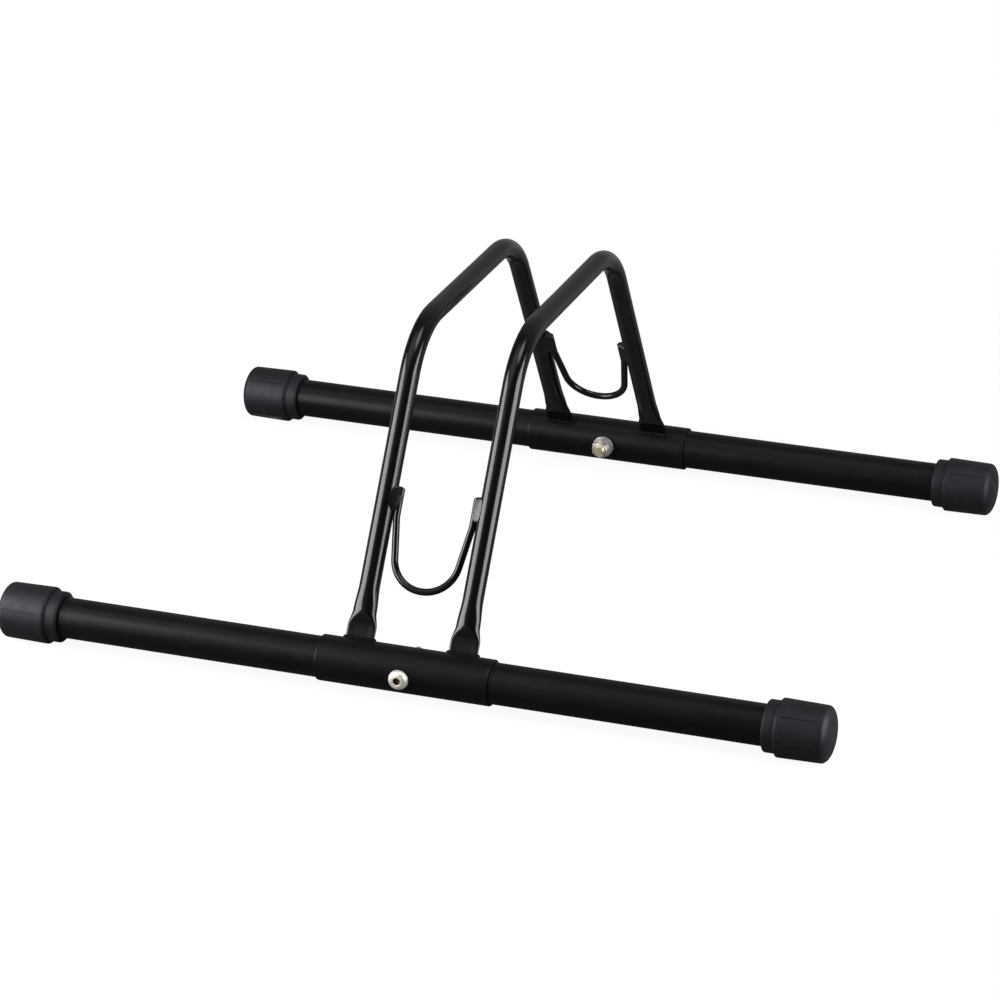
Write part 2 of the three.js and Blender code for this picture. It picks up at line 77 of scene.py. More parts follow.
TUBE_RADIUS = 7.15
TUBE_SIDES = 96
HOOP_X = 37.4
HOOP_RISE = 199.6
UPPER_RUN = 197
HOOP_BEND = 60
FOOT_HALF = 10.5
FOOT_FLAT = 8.5
FOOT_PRESS = 11
FOOT_OVAL = 18.5
OVAL_SPREAD = 0.38
SADDLE_OVERLAP = 0.3
OUTLINE_STEPS = 360
OUTLINE_START = 0.5

# The feet's flats are dished by FLAT_SINK, over a slope that is a share of each flat's half width
FLAT_SINK = 0.14
FLAT_LEAST = 0.5
SINK_SLOPE = 0.5

# ---- sizes: wire cradles and welds ----

WIRE_RADIUS = 2.5
WIRE_SIDES = 28
WIRE_CHAMFER = 0.5
CRADLE_BOTTOM = 54.2
CRADLE_TOP = 123
CRADLE_CORNER = 23
CORNER_RINGS = 30
CRADLE_FLARE = math.radians(8.5)
CRADLE_KNEE = 14
KNEE_RINGS = 8
CRADLE_END = 19
WIRE_STRAIGHT = 6
FOOT_BEAD = 1.6
BEAD_STEPS = 168
BEAD_SIDES = 14
BEAD_WAVES = 17
BEAD_RIPPLE = 0.03
BEAD_DRIFT = 0.14
BEAD_DRIFT_REACH = 2
FILL_LENGTH = 18
FILL_STEPS = 48
FILL_POINTS = 14
FILL_BULGE = 0.5
FILL_SWELL = 0.1
FILL_DRIFT = 0.6
FILL_DRIFT_RATE = 0.18
FILL_SINK = 0.3
FILL_LAP = (0.9, 0.35)
FILL_TIP = 0.8
FILL_TAPER = 0.45
WELD_SEEDS = {"front": 5, "rear": 11}
WELD_SEED_STEP = 3.7

# ---- sizes: end caps ----

CAP_LENGTH = 46
CAP_END_WALL = 6
CAP_RADIUS = 20.05
CAP_SIDES = 120
CAP_TAPER = 0.5
CAP_DOME_LENGTH = 6.5
CAP_DOME_WIDTH = 14
CAP_DOME_STEPS = 22
CAP_FACE = 2
COLLAR_LENGTH = 8.7
COLLAR_RADIUS = 17.9
COLLAR_FILLET = 0.25
CAP_EDGE = 1.3
CAP_BORE = 14.6
CAP_SEAT = 0.3
AXIS_GAP = 0.02
GROOVE_COUNT = 4
GROOVE_WIDTH = 1.6
GROOVE_DEPTH = 0.8
GROOVE_LIP = 0.25
GROOVE_STOP = 4
GROOVE_SLOPE = 0.5
GROOVE_MARGIN = 0.012
CAP_TURNS = {"front_left": 67.5, "front_right": 45, "rear_left": 45, "rear_right": 45}
CAP_OFFSETS = {"front_left": 0, "front_right": 0, "rear_left": 0, "rear_right": 3.5}

# Places across a groove as shares of its half width, and 1 where the groove is at its full depth
GROOVE_SECTION = ((-1, 0.0), (-0.86, 0.0), (-0.62, 1.0), (0, 1.0), (0.62, 1.0), (0.86, 0.0), (1, 0.0))

# ---- sizes: fasteners ----

FASTENER_SIDES = 96
BOLT_RADIUS = 4
BOLT_TAIL = 2
THREAD_PITCH = 1.25
THREAD_DEPTH = 0.45
HOLE_RADIUS = 4.25
HEAD_RADIUS = 7
HEAD_HEIGHT = 4.4
HEAD_EDGE = 0.6
HEAD_FLAT = 3.15
HEAD_STEPS = 18
SOCKET_WIDTH = 5
SOCKET_DEPTH = 2.8
WASHER_RADIUS = 8
WASHER_THICKNESS = 1.6
NUT_WIDTH = 13
NUT_HEX_HEIGHT = 6.2
NUT_HEIGHT = 8
NUT_COLLAR = 5.9
NUT_MOUTH = 0.6
INSERT_SIDES = 64
INSERT_DEPTH = 2.2
INSERT_LENGTH = 1.5
INSERT_GRIP = 0.2
INSERT_WIDTH = 0.9
SEAT_GAP = 0.2

# ---- sizes that follow from the others ----

LEG_RUN = BAR_OFFSET - UPPER_RUN / 2
LEG_LEAN = math.atan2(LEG_RUN, HOOP_RISE)
BEND_ANGLE = math.pi / 2 - LEG_LEAN
BEND_REACH = HOOP_BEND * math.tan(BEND_ANGLE / 2)
BEND_START = math.hypot(LEG_RUN, HOOP_RISE) - BEND_REACH
FOOT_END = SLEEVE_RADIUS + FOOT_FLAT
OVAL_START = FOOT_END + FOOT_PRESS
FOOT_TOP = OVAL_START + FOOT_OVAL
TUBE_ROUND = math.tau * TUBE_RADIUS
FOOT_THICK = (TUBE_ROUND - 4 * FOOT_HALF) / (math.tau - 4)
HEAD_SEAT = -(SLEEVE_RADIUS + SEAT_GAP)
WASHER_SEAT = SLEEVE_RADIUS + SEAT_GAP
NUT_SEAT = WASHER_SEAT + WASHER_THICKNESS + SEAT_GAP
NUT_TOP = NUT_SEAT + NUT_HEIGHT
BOLT_END = NUT_TOP + BOLT_TAIL

# Where a leg's stages end, measured along it from the bar's axis, and the rings in each stage
LEG_STAGES = ((FOOT_END, 6), (OVAL_START, 32), (FOOT_TOP, 24), (BEND_START, 16))
LEG_FIRST_RING = SLEEVE_RADIUS + 0.8
BEND_RINGS = 37
UPPER_RINGS = 12

# ---- tones ----


def colour(r, g, b):
    return (r, g, b, 1.0)


# Lighter grey for the paint's edges: partly rubbed wear, partly a painted highlight
WORN_AND_LIT_EDGE_PAINT = colour(0.06, 0.06, 0.062)
RUBBER_DARK = colour(0.0032, 0.0032, 0.0044)
RUBBER_LIGHT = colour(0.0052, 0.0052, 0.0070)
RUBBER_BLOOM = colour(0.012, 0.012, 0.0155)
RUBBER_WORN = colour(0.045, 0.045, 0.052)
RUBBER_SHEEN = colour(0.90, 0.90, 1.0)
# Brownish painted shade for the bolts' sockets
SOCKET_SHADE = colour(0.085, 0.050, 0.026)
BOLT_TAIL_TONE = colour(0.36, 0.33, 0.23)
NYLON_DARK = colour(0.52, 0.46, 0.31)
NYLON_LIGHT = colour(0.66, 0.60, 0.44)
WHITE = colour(1, 1, 1)
FLOOR_TO_CAMERA = colour(0.8, 0.8, 0.8)
FLOOR_TO_OTHERS = colour(0.13, 0.13, 0.13)

# Where noise patterns start and stop to count
NOISE_LOW = 0.3
NOISE_HIGH = 0.7

# Brownish painted shade in the bolts' sockets: edges of its round patch, and how deep it starts and
# ends, in mm
SOCKET_SHADE_REACH = (2.9, 3.1)
SOCKET_SHADE_TOP = (0.2, 0.9)
SOCKET_SHADE_BOTTOM = (4, 5)

# ---- light ----

FLOOR_REACH = 30
FLOOR_DROP = 0.0001

# The floor's own light near the rack and far off: two distances in metres and the share at each
FLOOR_GLOW_SEEN = (0.3, 0.8, 0.92, 1)
FLOOR_GLOW_REFLECTED = (0.3, 1.3, 0, 0.34)

WORLD_LEVEL = 0.05

# Soft glows of the world: azimuth and elevation in degrees, cosines of edge and core, radiance
WORLD_GLOWS = (
    (-45, 60, 0.84, 0.97, 1.2),
    (170, 28, 0.55, 0.90, 0.31),
    (-20, 4, 0.85, 0.98, 0.35),
    (74, 75, 0.955, 0.99, 5.5),
)

# Softboxes: azimuth and elevation in degrees, distance, width and height in metres, radiance
SOFTBOXES = {
    "left_softbox": (-55, 17, 1.25, 1.0, 0.8, 11.5),
    "right_softbox": (82, 15, 1.3, 0.9, 0.75, 11),
}
SOFTBOX_TARGET = (0, 0, 0.1)


def add_camera():
    ahead = Vector((
        -math.sin(CAMERA_AZIMUTH) * math.cos(CAMERA_ELEVATION),
        math.cos(CAMERA_AZIMUTH) * math.cos(CAMERA_ELEVATION),
        -math.sin(CAMERA_ELEVATION),
    ))
    level = Vector((math.cos(CAMERA_AZIMUTH), math.sin(CAMERA_AZIMUTH), 0))
    over = level.cross(ahead)
    right = math.cos(CAMERA_ROLL) * level + math.sin(CAMERA_ROLL) * over
    up = math.cos(CAMERA_ROLL) * over - math.sin(CAMERA_ROLL) * level
    data = bpy.data.cameras.new("camera")
    data.lens = CAMERA_LENS
    data.sensor_width = CAMERA_SENSOR
    data.shift_x, data.shift_y = CAMERA_SHIFT
    data.clip_start = CAMERA_NEAR
    data.clip_end = CAMERA_FAR
    camera = bpy.data.objects.new("camera", data)
    turn = Matrix((right, up, -ahead)).transposed().to_4x4()
    camera.matrix_world = Matrix.Translation(CAMERA_PLACE) @ turn
    bpy.context.scene.collection.objects.link(camera)
    bpy.context.scene.camera = camera


# ---- mesh tools ----


def loft(rings, loops=False):
    """Points and faces through rows of rings, closed at both ends or looped round."""
    rings = np.asarray(rings, float)
    rows, count, _ = rings.shape
    faces = []
    for i in range(rows if loops else rows - 1):
        here = i * count
        there = (i + 1) % rows * count
        for k in range(count):
            after = (k + 1) % count
            faces.append((here + k, here + after, there + after, there + k))
    if not loops:
        last = (rows - 1) * count
        faces.append(tuple(range(count)))
        faces.append(tuple(last + k for k in reversed(range(count))))
    return rings.reshape(-1, 3), faces


def even_angles(count):
    return [math.tau * k / count for k in range(count)]


def turned(profile, axis, sides):
    """A ring-shaped body turned round X or Y from a closed row of [radius, height] points."""
    rings = []
    for radius, height in profile:
        ring = []
        for a in even_angles(sides):
            c = radius * math.cos(a)
            s = radius * math.sin(a)
            ring.append((height, s, c) if axis == "x" else (s, height, c))
        rings.append(ring)
    return loft(rings, loops=True)


def place(part, offset=(0, 0, 0), flip=(1, 1, 1)):
    """The same part, mirrored where flip says -1, then moved."""
    points, faces = part
    return (np.asarray(points) * flip) + offset, faces


def at_rear(part):
    """The same part at the rear, where the front's pieces stand turned half round."""
    return place(part, flip=(-1, -1, 1))


def quarter_turns(steps):
    return [i / steps * math.pi / 2 for i in range(steps + 1)]


def dome(centre, wide, high, steps):
    """Points of a quarter ellipse, from its highest point to its widest."""
    turns = quarter_turns(steps)
    return [(centre[0] + wide * math.sin(t), centre[1] + high * math.cos(t)) for t in turns]


def corner(radius, height, edge, steps=5):
    """A rounded outer corner of a profile whose body lies above it."""
    turns = quarter_turns(steps)
    return [(radius - edge * (1 - math.cos(t)), height + edge * (1 - math.sin(t))) for t in turns]


def smooth_share(x):
    """0 up to 0, 1 from 1 on, and an even rise between them."""
    x = min(max(x, 0.0), 1.0)
    return x * x * (3 - 2 * x)


def add_piece(name, node, slot, material, part, sharp=35):
    """One piece of the visual model, which takes the place of a node. Sharp is in degrees."""
    points, faces = part
    mesh = bpy.data.meshes.new(name)
    mesh.from_pydata((np.asarray(points) * MM).tolist(), [], faces)
    work = bmesh.new()
    work.from_mesh(mesh)
    bmesh.ops.recalc_face_normals(work, faces=work.faces)
    work.to_mesh(mesh)
    work.free()
    mesh.shade_smooth()
    mesh.set_sharp_from_angle(angle=math.radians(sharp))
    mesh.materials.append(material)
    piece = bpy.data.objects.new(name, mesh)
    bpy.context.scene.collection.objects.link(piece)
    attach(piece, "root")
    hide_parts(node)


# ---- materials ----


class Nodes:
    """A short way to write one material's or the world's nodes."""

    def __init__(self, tree):
        self.tree = tree
        tree.nodes.clear()

    def add(self, kind, values=None, **settings):
        node = self.tree.nodes.new(kind)
        for key, value in settings.items():
            setattr(node, key, value)
        for key, value in (values or {}).items():
            if isinstance(value, bpy.types.NodeSocket):
                self.tree.links.new(value, node.inputs[key])
            else:
                node.inputs[key].default_value = value
        return node

    def vector(self, operation, a, b=None):
        values = {0: a} if b is None else {0: a, 1: b}
        return self.add("ShaderNodeVectorMath", values, operation=operation).outputs

    def noise(self, place_at, scale, detail=4, roughness=0.55, stretch=None):
        if stretch:
            place_at = self.vector("MULTIPLY", place_at, stretch)[0]
        values = {"Vector": place_at, "Scale": scale, "Detail": detail, "Roughness": roughness}
        return self.add("ShaderNodeTexNoise", values).outputs["Fac"]

    def remap(self, value, low, high, to_low, to_high):
        values = {"Value": value, "From Min": low, "From Max": high, "To Min": to_low, "To Max": to_high}
        return self.add("ShaderNodeMapRange", values).outputs["Result"]

    def fade(self, value, between, to_low, to_high):
        """A level that goes from one value to another between two lengths in millimetres."""
        return self.remap(value, between[0] * MM, between[1] * MM, to_low, to_high)

    def math(self, operation, a, b=0.0):
        return self.add("ShaderNodeMath", {0: a, 1: b}, operation=operation).outputs[0]

    def mix(self, share, a, b):
        return self.add("ShaderNodeMix", {0: share, 6: a, 7: b}, data_type="RGBA").outputs[2]

    def blend(self, pattern, dark, light):
        """Two tones mixed by a noise pattern."""
        return self.mix(self.remap(pattern, NOISE_LOW, NOISE_HIGH, 0, 1), dark, light)

    def spread(self, pattern, middle, reach):
        """A level that a noise pattern moves up and down round its middle."""
        return self.remap(pattern, NOISE_LOW, NOISE_HIGH, middle - reach, middle + reach)

    def edges(self, low, high):
        """1 on a piece's outer edges and 0 on its even faces."""
        pointed = self.add("ShaderNodeNewGeometry").outputs["Pointiness"]
        return self.remap(pointed, low, high, 0, 1)

    def bump(self, height, strength, distance, under=None):
        values = {"Height": height, "Strength": strength, "Distance": distance}
        if under is not None:
            values["Normal"] = under
        return self.add("ShaderNodeBump", values).outputs[0]

    def finish(self, shader):
        self.add("ShaderNodeOutputMaterial", {"Surface": shader.outputs[0]})

    def finish_surface(self, tone, roughness, normal, levels):
        """The shader, with its plain levels set on its own sockets, and the output."""
        values = {"Base Color": tone, "Roughness": roughness, "Normal": normal}
        shader = self.add("ShaderNodeBsdfPrincipled", values)
        for key, level in levels.items():
            shader.inputs[key].default_value = level
        self.finish(shader)


def material_nodes(name):
    material = bpy.data.materials.new(name)
    material.use_nodes = True
    nodes = Nodes(material.node_tree)
    place_at = nodes.add("ShaderNodeTexCoord").outputs["Object"]
    return material, nodes, place_at


def painted(name, dark, light, rough, spread, level, peel, grain, grain_scale, wear_and_highlight):
    """Black paint: colour that drifts a little, smudged gloss, orange peel, grain, and edges made
    lighter, partly as rubbed wear and partly as a painted highlight.
    """
    material, nodes, place_at = material_nodes(name)
    drift = nodes.noise(place_at, 22, 5)
    smudge = nodes.noise(place_at, 75, 6, 0.62)
    fine = nodes.noise(place_at, grain_scale, 3, 0.6)
    waves = nodes.noise(place_at, 420, 2, 0.4)
    touched = nodes.remap(smudge, 0.4, 0.62, 0.2, 1)
    rubbed_and_lit = nodes.math("MULTIPLY", nodes.edges(0.53, 0.62), touched)
    tone = nodes.blend(drift, dark, light)
    # Painted highlight and wear: the edges are mixed toward a lighter grey
    tone = nodes.mix(nodes.math("MULTIPLY", rubbed_and_lit, wear_and_highlight), tone, WORN_AND_LIT_EDGE_PAINT)
    roughness = nodes.spread(smudge, rough, spread)
    roughness = nodes.math("ADD", roughness, nodes.math("MULTIPLY", rubbed_and_lit, 0.08))
    normal = nodes.bump(waves, peel, 0.0004)
    normal = nodes.bump(fine, grain, 0.0001, under=normal)
    nodes.finish_surface(tone, roughness, normal, {"Specular IOR Level": level})
    return material


def rubber():
    """Black rubber with a bluish sheen, pale bloom, scuffs and worn edges."""
    material, nodes, place_at = material_nodes("grey_black_rubber")
    drift = nodes.noise(place_at, 30, 5)
    bloom = nodes.noise(place_at, 120, 7, 0.65)
    fine = nodes.noise(place_at, 2600, 3, 0.6)
    scuff = nodes.noise(place_at, 160, 5, 0.6, (1, 4, 4))
    scuffed = nodes.remap(scuff, 0.45, 0.7, 0, 1)
    worn = nodes.math("MULTIPLY", nodes.edges(0.52, 0.60), scuffed)
    tone = nodes.blend(drift, RUBBER_DARK, RUBBER_LIGHT)
    tone = nodes.mix(nodes.remap(bloom, 0.56, 0.75, 0, 0.35), tone, RUBBER_BLOOM)
    tone = nodes.mix(nodes.math("MULTIPLY", worn, 0.6), tone, RUBBER_WORN)
    roughness = nodes.remap(bloom, NOISE_LOW, NOISE_HIGH, 0.46, 0.62)
    normal = nodes.bump(scuff, 0.12, 0.0003)
    normal = nodes.bump(fine, 0.35, 0.00008, under=normal)
    levels = {"Specular IOR Level": 0.26, "Specular Tint": RUBBER_SHEEN}
    nodes.finish_surface(tone, roughness, normal, levels)
    return material


def socket_shade_and_tail_tone(nodes, place_at, tone):
    """The bolts' tone with a brownish painted shade deep in their sockets and a darker end on their
    tails.
    """
    parts = nodes.add("ShaderNodeSeparateXYZ", {0: place_at}).outputs
    from_middle = nodes.math("ABSOLUTE", parts["Y"])
    rise = nodes.math("SUBTRACT", parts["Z"], BAR_HEIGHT * MM)
    square = nodes.math("ADD", nodes.math("POWER", parts["X"], 2), nodes.math("POWER", rise, 2))
    in_socket = nodes.fade(nodes.math("SQRT", square), SOCKET_SHADE_REACH, 1, 0)
    head_top = (BAR_OFFSET - HEAD_SEAT + HEAD_HEIGHT) * MM
    depth = nodes.math("SUBTRACT", head_top, from_middle)
    socket_shaded = nodes.math("MULTIPLY", in_socket, nodes.fade(depth, SOCKET_SHADE_TOP, 0, 1))
    socket_shaded = nodes.math("MULTIPLY", socket_shaded, nodes.fade(depth, SOCKET_SHADE_BOTTOM, 1, 0))
    # Painted shade: the socket is darkened and browned where it lies deep
    tone = nodes.mix(socket_shaded, tone, SOCKET_SHADE)
    tail_end = BAR_OFFSET - BOLT_END
    at_tail = nodes.fade(from_middle, (tail_end, tail_end + BOLT_TAIL), 1, 0)
    return nodes.mix(at_tail, tone, BOLT_TAIL_TONE)


def zinc(name, dark, light, rough, socket_shade_and_tail=None):
    """Zinc plate with a faint warm passivation and fine marks of turning."""
    material, nodes, place_at = material_nodes(name)
    cloud = nodes.noise(place_at, 260, 5, 0.6)
    fine = nodes.noise(place_at, 3200, 3, 0.6)
    turned_marks = nodes.noise(place_at, 900, 2, 0.5, (1, 6, 1))
    tone = nodes.blend(cloud, dark, light)
    if socket_shade_and_tail:
        tone = socket_shade_and_tail(nodes, place_at, tone)
    roughness = nodes.spread(cloud, rough, 0.06)
    normal = nodes.bump(turned_marks, 0.15, 0.0001)
    normal = nodes.bump(fine, 0.2, 0.00005, under=normal)
    nodes.finish_surface(tone, roughness, normal, {"Metallic": 0.7})
    return material


def nylon():
    material, nodes, place_at = material_nodes("pale_nylon")
    drift = nodes.noise(place_at, 400, 4)
    tone = nodes.blend(drift, NYLON_DARK, NYLON_LIGHT)
    normal = nodes.bump(drift, 0.2, 0.0001)
    roughness = nodes.remap(drift, NOISE_LOW, NOISE_HIGH, 0.35, 0.5)
    nodes.finish_surface(tone, roughness, normal, {})
    return material


satin_paint = painted(
    "satin_black_paint", colour(0.0024, 0.0024, 0.0024), colour(0.0040, 0.0040, 0.0039),
    rough=0.35, spread=0.05, level=0.105, peel=0.10, grain=0.25, grain_scale=1500, wear_and_highlight=0.12,
)
gloss_paint = painted(
    "gloss_black_paint", colour(0.0018, 0.0018, 0.0021), colour(0.0032, 0.0032, 0.0034),
    rough=0.16, spread=0.04, level=0.30, peel=0.08, grain=0.08, grain_scale=1200, wear_and_highlight=0.3,
)
weld_paint = painted(
    "painted_weld", colour(0.0030, 0.0030, 0.0034), colour(0.0050, 0.0050, 0.0052),
    rough=0.30, spread=0.05, level=0.32, peel=0.55, grain=0.14, grain_scale=700, wear_and_highlight=0.3,
)
bead_paint = painted(
    "painted_bead", colour(0.0022, 0.0022, 0.0023), colour(0.0036, 0.0036, 0.0036),
    rough=0.44, spread=0.05, level=0.05, peel=0.25, grain=0.3, grain_scale=900, wear_and_highlight=0.05,
)
cap_rubber = rubber()
# The bolts' zinc carries a painted shade in their sockets
bright_zinc = zinc(
    "bright_zinc", colour(0.66, 0.63, 0.56), colour(0.82, 0.79, 0.73), rough=0.44, socket_shade_and_tail=socket_shade_and_tail_tone,
)
# Painted shade: the nut's and the washer's zinc are darker copies of the bolts' zinc, for their less lit
# places
shaded_nut_zinc = zinc("shaded_nut_zinc", colour(0.36, 0.33, 0.31), colour(0.52, 0.48, 0.45), rough=0.38)
shaded_washer_zinc = zinc("shaded_washer_zinc", colour(0.20, 0.19, 0.185), colour(0.34, 0.325, 0.31), rough=0.42)
pale_nylon = nylon()

# ---- hoops ----


def on_front_leg(x, up, out):
    """The point at x, up along the front legs from the bar's axis and out in front of their plane."""
    y = -BAR_OFFSET + up * math.sin(LEG_LEAN) - out * math.cos(LEG_LEAN)
    z = BAR_HEIGHT + up * math.cos(LEG_LEAN) + out * math.sin(LEG_LEAN)
    return (x, y, z)


def leg_section(up):
    """Half the width, thickness and flats of a leg: two halves of an ellipse joined by flats."""
    oval = smooth_share((FOOT_TOP - up) / FOOT_OVAL)
    press = smooth_share((OVAL_START - up) / FOOT_PRESS)
    wide = TUBE_RADIUS + (FOOT_HALF - TUBE_RADIUS) * (OVAL_SPREAD * oval + (1 - OVAL_SPREAD) * press)
    flat = (FOOT_HALF - FOOT_THICK) * press
    mean_square = ((TUBE_ROUND - 4 * flat) / math.tau) ** 2
    return wide, math.sqrt(2 * mean_square - (wide - flat) ** 2), flat


def outline(section, angle):
    """A point of a leg's section and the direction that the section faces there."""
    wide, thick, flat = section
    c = math.cos(angle)
    s = math.sin(angle)
    side = 0 if abs(c) < 1e-9 else math.copysign(1, c)
    return side * flat + (wide - flat) * c, thick * s, (c, s)


def leg_ring(up, saddle=False):
    """A leg's ring of points at even steps along its outline, with its flats a little sunken."""
    section = leg_section(up)
    flat = section[2]
    angles = [math.tau * (k + OUTLINE_START) / OUTLINE_STEPS for k in range(OUTLINE_STEPS)]
    fine = [outline(section, angle)[:2] for angle in angles]
    fine.append(fine[0])
    walk = [0.0]
    for here, after in zip(fine, fine[1:]):
        walk.append(walk[-1] + math.dist(here, after))
    steps = np.arange(TUBE_SIDES) / TUBE_SIDES * walk[-1]
    xs = np.interp(steps, walk, [x for x, _ in fine])
    outs = np.interp(steps, walk, [out for _, out in fine])
    sink = FLAT_SINK * flat / (FOOT_HALF - FOOT_THICK)
    ring = []
    for x, out in zip(xs, outs):
        if flat > FLAT_LEAST:
            out -= math.copysign(sink * smooth_share((flat - abs(x)) / (SINK_SLOPE * flat)), out)
        on_sleeve = math.sqrt(SLEEVE_RADIUS ** 2 - out ** 2) - SADDLE_OVERLAP
        ring.append(on_front_leg(x, on_sleeve if saddle else up, out))
    return ring


def leg_heights():
    """Where a leg's rings stand, close together where its section changes."""
    heights = [LEG_FIRST_RING]
    for top, count in LEG_STAGES:
        heights += list(np.linspace(heights[-1], top, count))[1:]
    return heights[:-1]


def bend_rings():
    """Rings round the hoop's front bend, from the leg to the upper run."""
    start = OUTLINE_START / OUTLINE_STEPS
    angles = [math.tau * (k / TUBE_SIDES + start) for k in range(TUBE_SIDES)]
    centre_y = BEND_REACH - UPPER_RUN / 2
    centre_z = BAR_HEIGHT + HOOP_RISE - HOOP_BEND
    rings = []
    for turn in np.linspace(BEND_ANGLE, 0, BEND_RINGS):
        ring = []
        for a in angles:
            reach = HOOP_BEND + TUBE_RADIUS * math.sin(a)
            y = centre_y - reach * math.sin(turn)
            ring.append((TUBE_RADIUS * math.cos(a), y, centre_z + reach * math.cos(turn)))
        rings.append(ring)
    return rings


def hoop_body():
    front = [leg_ring(SLEEVE_RADIUS, saddle=True)]
    front += [leg_ring(up) for up in leg_heights()]
    front = np.array(front + bend_rings())
    rear = front[::-1] * (1, -1, 1)
    last = front[-1]
    across = rear[0] - last
    between = [last + across * share for share in np.linspace(0, 1, UPPER_RINGS)[1:-1]]
    return loft(np.concatenate([front, between, rear]))


def add_hoops():
    body = hoop_body()
    for name, side in (("left_hoop", -1), ("right_hoop", 1)):
        hoop = place(body, offset=(side * HOOP_X, 0, 0))
        add_piece(name + "_tube", name, "gloss_black", gloss_paint, hoop)


# ---- wire cradles ----


def cradle_path():
    """The right half of a wire's middle line as [x, up] points, from its bottom to its end."""
    end_x = HOOP_X - TUBE_RADIUS - SEAT_GAP - WIRE_RADIUS
    corner_turn = math.pi / 2 - CRADLE_FLARE
    knee_reach = CRADLE_KNEE * math.tan(CRADLE_FLARE / 2)
    knee_up = CRADLE_TOP - CRADLE_END - knee_reach
    side_run = knee_up - CRADLE_BOTTOM - CRADLE_CORNER * (1 - math.cos(corner_turn))
    corner_x = end_x - side_run * math.tan(CRADLE_FLARE) - CRADLE_CORNER * math.sin(corner_turn)
    corner_up = CRADLE_BOTTOM + CRADLE_CORNER
    path = [(0, CRADLE_BOTTOM)]
    for turn in np.linspace(0, corner_turn, CORNER_RINGS):
        x = corner_x + CRADLE_CORNER * math.sin(turn)
        path.append((x, corner_up - CRADLE_CORNER * math.cos(turn)))
    knee_top = knee_up + knee_reach
    for turn in np.linspace(CRADLE_FLARE, 0, KNEE_RINGS):
        x = end_x - CRADLE_KNEE * (1 - math.cos(turn))
        path.append((x, knee_top - CRADLE_KNEE * math.sin(turn)))
    for below in (WIRE_STRAIGHT, WIRE_CHAMFER, 0):
        path.append((end_x, CRADLE_TOP - below))
    return path


def cradle():
    half = cradle_path()
    path = [(-x, up) for x, up in reversed(half[1:])] + half
    final = len(path) - 1
    rings = []
    for i, (x, up) in enumerate(path):
        before = path[max(i - 1, 0)]
        after = path[min(i + 1, final)]
        run = math.hypot(after[0] - before[0], after[1] - before[1])
        along = ((after[0] - before[0]) / run, (after[1] - before[1]) / run)
        radius = WIRE_RADIUS - (WIRE_CHAMFER if i in (0, final) else 0)
        ring = []
        for a in even_angles(WIRE_SIDES):
            reach = radius * math.cos(a)
            ring.append(on_front_leg(x - along[1] * reach, up + along[0] * reach, radius * math.sin(a)))
        rings.append(ring)
    return loft(rings)


# ---- welds ----


def foot_weld(side, seed):
    """A rippled bead round a front leg's foot, on the sleeve."""
    section = leg_section(SLEEVE_RADIUS)
    rings = []
    for angle in even_angles(BEAD_STEPS):
        across, out, facing = outline(section, angle)
        up = math.sqrt(SLEEVE_RADIUS ** 2 - out ** 2)
        c = math.cos(angle) * BEAD_DRIFT_REACH
        s = math.sin(angle) * BEAD_DRIFT_REACH
        drift = noise.noise(Vector((c, s, seed)))
        ripple = math.sin(angle * BEAD_WAVES + seed)
        radius = FOOT_BEAD * (1 + BEAD_RIPPLE * ripple + BEAD_DRIFT * drift)
        ring = []
        for turn in even_angles(BEAD_SIDES):
            reach = radius * math.cos(turn)
            x = HOOP_X + across + facing[0] * reach
            ring.append(on_front_leg(x, up + radius * math.sin(turn), out + facing[1] * reach))
        rings.append(ring)
    return place(loft(rings, loops=True), flip=(side, 1, 1))


def fill_outline(bulge):
    """Half the fill's section as [x, out] points, from the wire to the leg."""
    reach = TUBE_RADIUS + SEAT_GAP + WIRE_RADIUS
    tilt = math.asin((TUBE_RADIUS - WIRE_RADIUS) / reach)
    normal = (-math.sin(tilt), math.cos(tilt))
    on_wire = WIRE_RADIUS - FILL_SINK
    on_leg = TUBE_RADIUS - FILL_SINK
    lap_x, lap_out = FILL_LAP
    first = (HOOP_X - reach + on_wire * normal[0] - lap_x, on_wire * normal[1] - lap_out)
    last = (HOOP_X + on_leg * normal[0] + lap_x, on_leg * normal[1] + lap_out)
    points = []
    for share in np.linspace(0, 1, FILL_POINTS):
        swell = FILL_SWELL + bulge * math.sin(math.pi * share)
        x = first[0] + (last[0] - first[0]) * share + normal[0] * swell
        out = first[1] + (last[1] - first[1]) * share + normal[1] * swell
        points.append((x, out))
    return points


def wire_weld(side, seed):
    """The fill between a wire's end and a front leg, closed over the wire's tip."""
    bottom = CRADLE_TOP + FILL_TIP - FILL_LENGTH
    middle = HOOP_X - TUBE_RADIUS - SEAT_GAP / 2
    rings = []
    for i in range(FILL_STEPS + 1):
        turn = math.pi * (i / FILL_STEPS - 0.5)
        size = FILL_TAPER + (1 - FILL_TAPER) * math.sqrt(max(math.cos(turn), 0.0))
        up = bottom + FILL_LENGTH * (1 + math.sin(turn)) / 2
        drift = noise.noise(Vector((up * FILL_DRIFT_RATE, seed, 0.4)))
        half = fill_outline(FILL_BULGE * (1 + FILL_DRIFT * drift))
        section = half + [(x, -out) for x, out in reversed(half)]
        rings.append([on_front_leg(middle + (x - middle) * size, up, out * size) for x, out in section])
    return place(loft(rings), flip=(side, 1, 1))


# ---- sleeves and bars ----


